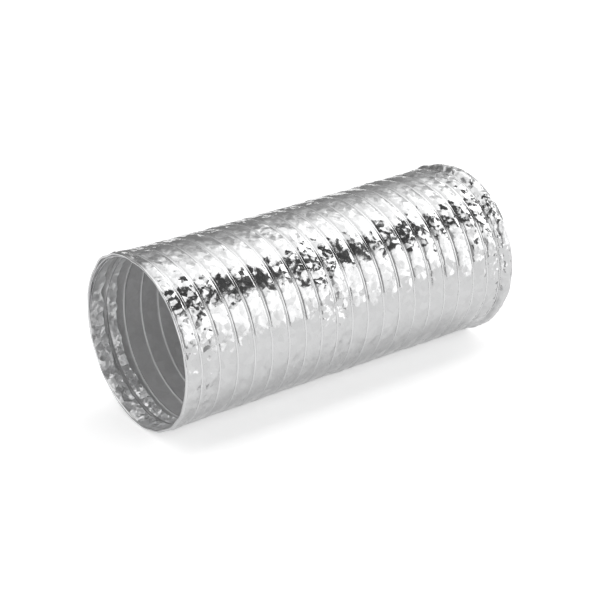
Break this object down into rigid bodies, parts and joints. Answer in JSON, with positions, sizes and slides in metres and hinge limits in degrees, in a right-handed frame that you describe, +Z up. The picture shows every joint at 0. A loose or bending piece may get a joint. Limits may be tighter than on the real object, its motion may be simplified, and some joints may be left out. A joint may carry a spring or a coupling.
{
  "type": "flexible foil duct",
  "caption": "Short flexible foil duct: a wire helix between two foil plies, with folded hems at both ends; it stretches, folds up and bends.",
  "frame": {"origin": "under the middle of the duct, on the surface that it lies on", "axes": "+X along the duct towards its rear end, +Z up"},
  "size_m": [0.2418, 0.105, 0.105],
  "materials": {
    "foil": "bright crinkled foil",
    "hem": "bright creased foil, folded and torn at its edge",
    "wire": "galvanised spring wire"
  },
  "bodies": {
    "front_cuff": {"front_hem": "hem", "wire_rim_front": "wire", "foil_bay_01": "foil", "wire_turn_01": "wire"},
    "bay_02": {"foil_bay_02": "foil"},
    "turn_02": {"wire_turn_02": "wire"},
    "bay_03": {"foil_bay_03": "foil"},
    "turn_03": {"wire_turn_03": "wire"},
    "bay_04": {"foil_bay_04": "foil"},
    "turn_04": {"wire_turn_04": "wire"},
    "bay_05": {"foil_bay_05": "foil"},
    "turn_05": {"wire_turn_05": "wire"},
    "bay_06": {"foil_bay_06": "foil"},
    "turn_06": {"wire_turn_06": "wire"},
    "bay_07": {"foil_bay_07": "foil"},
    "turn_07": {"wire_turn_07": "wire"},
    "bay_08": {"foil_bay_08": "foil"},
    "turn_08": {"wire_turn_08": "wire"},
    "bay_09": {"foil_bay_09": "foil"},
    "turn_09": {"wire_turn_09": "wire"},
    "bay_10": {"foil_bay_10": "foil"},
    "turn_10": {"wire_turn_10": "wire"},
    "bay_11": {"foil_bay_11": "foil"},
    "turn_11": {"wire_turn_11": "wire"},
    "bay_12": {"foil_bay_12": "foil"},
    "turn_12": {"wire_turn_12": "wire"},
    "bay_13": {"foil_bay_13": "foil"},
    "turn_13": {"wire_turn_13": "wire"},
    "bay_14": {"foil_bay_14": "foil"},
    "turn_14": {"wire_turn_14": "wire"},
    "bay_15": {"foil_bay_15": "foil"},
    "turn_15": {"wire_turn_15": "wire"},
    "bay_16": {"foil_bay_16": "foil"},
    "turn_16": {"wire_turn_16": "wire"},
    "bay_17": {"foil_bay_17": "foil"},
    "turn_17": {"wire_turn_17": "wire"},
    "bay_18": {"foil_bay_18": "foil"},
    "turn_18": {"wire_turn_18": "wire"},
    "bay_19": {"foil_bay_19": "foil"},
    "turn_19": {"wire_turn_19": "wire"},
    "bay_20": {"foil_bay_20": "foil"},
    "rear_cuff": {"wire_turn_20": "wire", "foil_bay_21": "foil", "wire_rim_rear": "wire", "rear_hem": "hem"}
  },
  "joints": [
    {"name": "stretch_02", "type": "slide", "parent": "bay_02", "child": "front_cuff", "axis": [-1, 0, 0], "range_m": [-0.0038, 0.0005], "deforming": ["foil_bay_02"]},
    {"name": "lift_02", "type": "hinge", "parent": "turn_02", "child": "bay_02", "pos_m": [-0.10305, 0, 0.0525], "axis": [0, 1, 0], "range_deg": [0, 3.85], "deforming": ["foil_bay_02"]},
    {"name": "stretch_03", "type": "slide", "parent": "bay_03", "child": "turn_02", "axis": [-1, 0, 0], "range_m": [-0.0038, 0.0005], "deforming": ["foil_bay_03"]},
    {"name": "sway_03", "type": "hinge", "parent": "turn_03", "child": "bay_03", "pos_m": [-0.0916, 0, 0.0525], "axis": [0, 0, -1], "range_deg": [-6.41, 6.41], "deforming": ["foil_bay_03"]},
    {"name": "stretch_04", "type": "slide", "parent": "bay_04", "child": "turn_03", "axis": [-1, 0, 0], "range_m": [-0.0038, 0.0005], "deforming": ["foil_bay_04"]},
    {"name": "lift_04", "type": "hinge", "parent": "turn_04", "child": "bay_04", "pos_m": [-0.08015, 0, 0.0525], "axis": [0, 1, 0], "range_deg": [0, 6.41], "deforming": ["foil_bay_04"]},
    {"name": "stretch_05", "type": "slide", "parent": "bay_05", "child": "turn_04", "axis": [-1, 0, 0], "range_m": [-0.0038, 0.0005], "deforming": ["foil_bay_05"]},
    {"name": "sway_05", "type": "hinge", "parent": "turn_05", "child": "bay_05", "pos_m": [-0.0687, 0, 0.0525], "axis": [0, 0, -1], "range_deg": [-6.41, 6.41], "deforming": ["foil_bay_05"]},
    {"name": "stretch_06", "type": "slide", "parent": "bay_06", "child": "turn_05", "axis": [-1, 0, 0], "range_m": [-0.0038, 0.0005], "deforming": ["foil_bay_06"]},
    {"name": "lift_06", "type": "hinge", "parent": "turn_06", "child": "bay_06", "pos_m": [-0.05725, 0, 0.0525], "axis": [0, 1, 0], "range_deg": [0, 6.41], "deforming": ["foil_bay_06"]},
    {"name": "stretch_07", "type": "slide", "parent": "bay_07", "child": "turn_06", "axis": [-1, 0, 0], "range_m": [-0.0038, 0.0005], "deforming": ["foil_bay_07"]},
    {"name": "sway_07", "type": "hinge", "parent": "turn_07", "child": "bay_07", "pos_m": [-0.0458, 0, 0.0525], "axis": [0, 0, -1], "range_deg": [-6.41, 6.41], "deforming": ["foil_bay_07"]},
    {"name": "stretch_08", "type": "slide", "parent": "bay_08", "child": "turn_07", "axis": [-1, 0, 0], "range_m": [-0.0038, 0.0005], "deforming": ["foil_bay_08"]},
    {"name": "lift_08", "type": "hinge", "parent": "turn_08", "child": "bay_08", "pos_m": [-0.03435, 0, 0.0525], "axis": [0, 1, 0], "range_deg": [0, 6.41], "deforming": ["foil_bay_08"]},
    {"name": "stretch_09", "type": "slide", "parent": "bay_09", "child": "turn_08", "axis": [-1, 0, 0], "range_m": [-0.0038, 0.0005], "deforming": ["foil_bay_09"]},
    {"name": "sway_09", "type": "hinge", "parent": "turn_09", "child": "bay_09", "pos_m": [-0.0229, 0, 0.0525], "axis": [0, 0, -1], "range_deg": [-6.41, 6.41], "deforming": ["foil_bay_09"]},
    {"name": "stretch_10", "type": "slide", "parent": "bay_10", "child": "turn_09", "axis": [-1, 0, 0], "range_m": [-0.0038, 0.0005], "deforming": ["foil_bay_10"]},
    {"name": "lift_10", "type": "hinge", "parent": "turn_10", "child": "bay_10", "pos_m": [-0.01145, 0, 0.0525], "axis": [0, 1, 0], "range_deg": [0, 6.41], "deforming": ["foil_bay_10"]},
    {"name": "stretch", "type": "slide", "parent": "bay_11", "child": "turn_10", "axis": [-1, 0, 0], "range_m": [-0.0038, 0.0005], "deforming": ["foil_bay_11"]},
    {"name": "bend_sideways", "type": "hinge", "parent": "bay_11", "child": "turn_11", "pos_m": [0, 0, 0.0525], "axis": [0, 0, 1], "range_deg": [-6.41, 6.41], "deforming": ["foil_bay_11"]},
    {"name": "stretch_12", "type": "slide", "parent": "turn_11", "child": "bay_12", "axis": [1, 0, 0], "range_m": [-0.0038, 0.0005], "deforming": ["foil_bay_12"]},
    {"name": "bend_up", "type": "hinge", "parent": "bay_12", "child": "turn_12", "pos_m": [0.01145, 0, 0.0525], "axis": [0, -1, 0], "range_deg": [0, 6.41], "deforming": ["foil_bay_12"]},
    {"name": "stretch_13", "type": "slide", "parent": "turn_12", "child": "bay_13", "axis": [1, 0, 0], "range_m": [-0.0038, 0.0005], "deforming": ["foil_bay_13"]},
    {"name": "sway_13", "type": "hinge", "parent": "bay_13", "child": "turn_13", "pos_m": [0.0229, 0, 0.0525], "axis": [0, 0, 1], "range_deg": [-6.41, 6.41], "deforming": ["foil_bay_13"]},
    {"name": "stretch_14", "type": "slide", "parent": "turn_13", "child": "bay_14", "axis": [1, 0, 0], "range_m": [-0.0038, 0.0005], "deforming": ["foil_bay_14"]},
    {"name": "lift_14", "type": "hinge", "parent": "bay_14", "child": "turn_14", "pos_m": [0.03435, 0, 0.0525], "axis": [0, -1, 0], "range_deg": [0, 6.41], "deforming": ["foil_bay_14"]},
    {"name": "stretch_15", "type": "slide", "parent": "turn_14", "child": "bay_15", "axis": [1, 0, 0], "range_m": [-0.0038, 0.0005], "deforming": ["foil_bay_15"]},
    {"name": "sway_15", "type": "hinge", "parent": "bay_15", "child": "turn_15", "pos_m": [0.0458, 0, 0.0525], "axis": [0, 0, 1], "range_deg": [-6.41, 6.41], "deforming": ["foil_bay_15"]},
    {"name": "stretch_16", "type": "slide", "parent": "turn_15", "child": "bay_16", "axis": [1, 0, 0], "range_m": [-0.0038, 0.0005], "deforming": ["foil_bay_16"]},
    {"name": "lift_16", "type": "hinge", "parent": "bay_16", "child": "turn_16", "pos_m": [0.05725, 0, 0.0525], "axis": [0, -1, 0], "range_deg": [0, 6.41], "deforming": ["foil_bay_16"]},
    {"name": "stretch_17", "type": "slide", "parent": "turn_16", "child": "bay_17", "axis": [1, 0, 0], "range_m": [-0.0038, 0.0005], "deforming": ["foil_bay_17"]},
    {"name": "sway_17", "type": "hinge", "parent": "bay_17", "child": "turn_17", "pos_m": [0.0687, 0, 0.0525], "axis": [0, 0, 1], "range_deg": [-6.41, 6.41], "deforming": ["foil_bay_17"]},
    {"name": "stretch_18", "type": "slide", "parent": "turn_17", "child": "bay_18", "axis": [1, 0, 0], "range_m": [-0.0038, 0.0005], "deforming": ["foil_bay_18"]},
    {"name": "lift_18", "type": "hinge", "parent": "bay_18", "child": "turn_18", "pos_m": [0.08015, 0, 0.0525], "axis": [0, -1, 0], "range_deg": [0, 6.41], "deforming": ["foil_bay_18"]},
    {"name": "stretch_19", "type": "slide", "parent": "turn_18", "child": "bay_19", "axis": [1, 0, 0], "range_m": [-0.0038, 0.0005], "deforming": ["foil_bay_19"]},
    {"name": "sway_19", "type": "hinge", "parent": "bay_19", "child": "turn_19", "pos_m": [0.0916, 0, 0.0525], "axis": [0, 0, 1], "range_deg": [-6.41, 6.41], "deforming": ["foil_bay_19"]},
    {"name": "stretch_20", "type": "slide", "parent": "turn_19", "child": "bay_20", "axis": [1, 0, 0], "range_m": [-0.0038, 0.0005], "deforming": ["foil_bay_20"]},
    {"name": "lift_20", "type": "hinge", "parent": "bay_20", "child": "rear_cuff", "pos_m": [0.10305, 0, 0.0525], "axis": [0, -1, 0], "range_deg": [0, 3.85], "deforming": ["foil_bay_20"]}
  ],
  "couplings": [
    {"joint": "stretch_02", "follows": "stretch", "ratio": 1},
    {"joint": "lift_02", "follows": "bend_up", "ratio": 0.6},
    {"joint": "stretch_03", "follows": "stretch", "ratio": 1},
    {"joint": "sway_03", "follows": "bend_sideways", "ratio": 1},
    {"joint": "stretch_04", "follows": "stretch", "ratio": 1},
    {"joint": "lift_04", "follows": "bend_up", "ratio": 1},
    {"joint": "stretch_05", "follows": "stretch", "ratio": 1},
    {"joint": "sway_05", "follows": "bend_sideways", "ratio": 1},
    {"joint": "stretch_06", "follows": "stretch", "ratio": 1},
    {"joint": "lift_06", "follows": "bend_up", "ratio": 1},
    {"joint": "stretch_07", "follows": "stretch", "ratio": 1},
    {"joint": "sway_07", "follows": "bend_sideways", "ratio": 1},
    {"joint": "stretch_08", "follows": "stretch", "ratio": 1},
    {"joint": "lift_08", "follows": "bend_up", "ratio": 1},
    {"joint": "stretch_09", "follows": "stretch", "ratio": 1},
    {"joint": "sway_09", "follows": "bend_sideways", "ratio": 1},
    {"joint": "stretch_10", "follows": "stretch", "ratio": 1},
    {"joint": "lift_10", "follows": "bend_up", "ratio": 1},
    {"joint": "stretch_12", "follows": "stretch", "ratio": 1},
    {"joint": "stretch_13", "follows": "stretch", "ratio": 1},
    {"joint": "sway_13", "follows": "bend_sideways", "ratio": 1},
    {"joint": "stretch_14", "follows": "stretch", "ratio": 1},
    {"joint": "lift_14", "follows": "bend_up", "ratio": 1},
    {"joint": "stretch_15", "follows": "stretch", "ratio": 1},
    {"joint": "sway_15", "follows": "bend_sideways", "ratio": 1},
    {"joint": "stretch_16", "follows": "stretch", "ratio": 1},
    {"joint": "lift_16", "follows": "bend_up", "ratio": 1},
    {"joint": "stretch_17", "follows": "stretch", "ratio": 1},
    {"joint": "sway_17", "follows": "bend_sideways", "ratio": 1},
    {"joint": "stretch_18", "follows": "stretch", "ratio": 1},
    {"joint": "lift_18", "follows": "bend_up", "ratio": 1},
    {"joint": "stretch_19", "follows": "stretch", "ratio": 1},
    {"joint": "sway_19", "follows": "bend_sideways", "ratio": 1},
    {"joint": "stretch_20", "follows": "stretch", "ratio": 1},
    {"joint": "lift_20", "follows": "bend_up", "ratio": 0.6}
  ]
}
